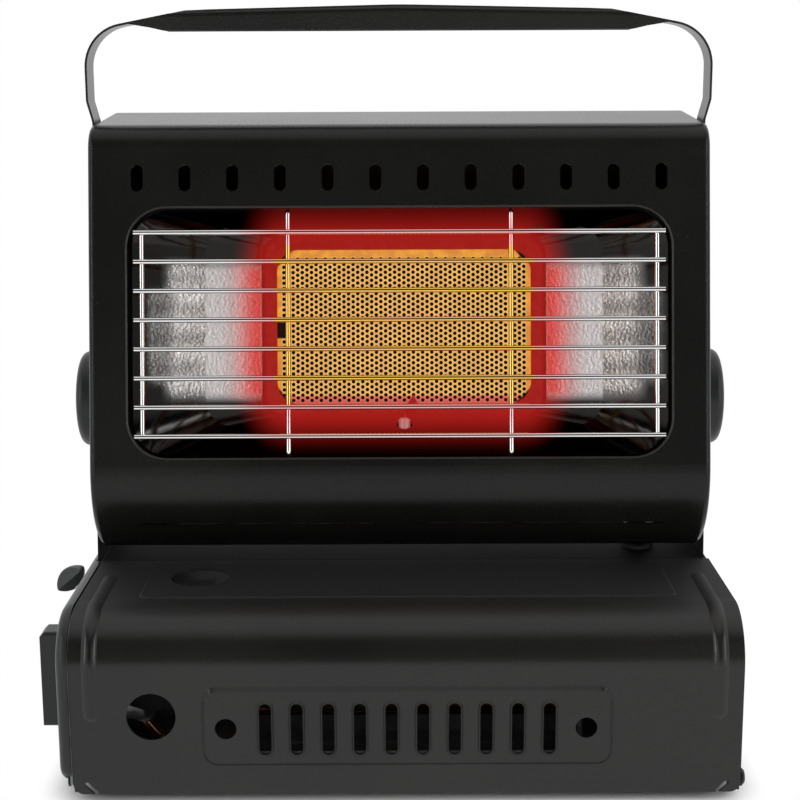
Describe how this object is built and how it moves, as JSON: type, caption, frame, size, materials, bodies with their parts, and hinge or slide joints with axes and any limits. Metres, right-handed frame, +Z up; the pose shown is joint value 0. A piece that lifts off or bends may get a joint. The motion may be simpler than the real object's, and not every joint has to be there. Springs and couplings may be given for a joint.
{
  "type": "portable propane heater",
  "caption": "Tabletop radiant gas heater: canister base with hinged cover, tilting ceramic burner head with wire guard between two arms, folding handle.",
  "frame": {"origin": "on the floor under the middle of the base, midway between the two arms", "axes": "+X towards the viewer's right when facing the burner, +Y from front to back, +Z up"},
  "size_m": [0.3111, 0.1873, 0.3296],
  "materials": {
    "black_coat": "satin",
    "black_plastic": "matte",
    "zinc_steel": "satin",
    "galvanised_sheet": "matte",
    "polished_reflector": "polished",
    "chrome_wire": "polished",
    "die_cast": "matte",
    "copper": "satin",
    "brass": "satin",
    "rubber": "matte",
    "burner_ceramic": "matte",
    "ceramic_fibre": "matte",
    "insulator_ceramic": "gloss"
  },
  "bodies": {
    "base": {"base_tray": "galvanised_sheet", "rear_deck": "black_coat", "deck_grommet": "rubber", "left_end_panel": "black_plastic", "panel_screws": "zinc_steel", "left_arm": "black_coat", "right_arm": "black_coat", "arm_rivets": "zinc_steel", "partition": "galvanised_sheet", "canister_cradle": "galvanised_sheet", "valve_bracket": "black_coat", "gas_regulator": "die_cast", "socket_seal": "rubber", "piezo_igniter": "black_plastic", "gas_pipe": "copper", "flexible_pipe": "zinc_steel", "rubber_feet": "rubber", "hinge_rivets": "zinc_steel", "lever_bracket": "galvanised_sheet", "slide_guides": "galvanised_sheet"},
    "cover": {"canister_cover": "black_coat"},
    "control": {"control_knob": "black_plastic", "valve_spindle": "zinc_steel"},
    "lever": {"lock_lever": "zinc_steel", "lever_paddle": "black_plastic"},
    "pusher": {"canister_pusher": "zinc_steel"},
    "head": {"head_shell": "black_coat", "head_back": "black_coat", "back_screws": "zinc_steel", "head_bottom": "black_coat", "reflector": "polished_reflector", "plaque_frame": "zinc_steel", "ceramic_plaque": "burner_ceramic", "plaque_gasket": "ceramic_fibre", "burner_box": "galvanised_sheet", "venturi_tube": "galvanised_sheet", "injector_bracket": "galvanised_sheet", "gas_injector": "brass", "electrode_insulator": "insulator_ceramic", "spark_electrode": "zinc_steel", "electrode_clip": "galvanised_sheet", "wire_guard": "chrome_wire", "pivot_nuts": "zinc_steel", "pivot_washers": "black_plastic", "handle_rivets": "zinc_steel"},
    "left_knob": {"left_tilt_knob": "black_plastic"},
    "right_knob": {"right_tilt_knob": "black_plastic"},
    "handle": {"carry_handle": "black_coat"}
  },
  "joints": [
    {"name": "cover_hinge", "type": "hinge", "parent": "base", "child": "cover", "pos_m": [0, -0.088, 0.0085], "axis": [1, 0, 0], "range_deg": [0, 90]},
    {"name": "control_turn", "type": "hinge", "parent": "base", "child": "control", "pos_m": [-0.145, -0.057, 0.043], "axis": [-1, 0, 0], "range_deg": [0, 100]},
    {"name": "lever_swing", "type": "hinge", "parent": "base", "child": "lever", "pos_m": [-0.105, 0.005, 0.049], "axis": [0, -1, 0], "range_deg": [0, 25]},
    {"name": "pusher_slide", "type": "slide", "parent": "base", "child": "pusher", "axis": [-1, 0, 0], "range_m": [0, 0.005]},
    {"name": "head_tilt", "type": "hinge", "parent": "base", "child": "head", "pos_m": [0, 0.023, 0.15], "axis": [-1, 0, 0], "range_deg": [-8, 30], "deforming": ["flexible_pipe"]},
    {"name": "left_knob_turn", "type": "hinge", "parent": "head", "child": "left_knob", "pos_m": [-0.145, 0.023, 0.15], "axis": [-1, 0, 0], "range_deg": [0, 270]},
    {"name": "right_knob_turn", "type": "hinge", "parent": "head", "child": "right_knob", "pos_m": [0.145, 0.023, 0.15], "axis": [1, 0, 0], "range_deg": [0, 270]},
    {"name": "handle_fold", "type": "hinge", "parent": "head", "child": "handle", "pos_m": [0, 0.017, 0.262], "axis": [-1, 0, 0], "range_deg": [-120, 120]}
  ],
  "couplings": [
    {"joint": "lever_swing", "follows": "pusher_slide", "rad_per_m": 87.2}
  ]
}
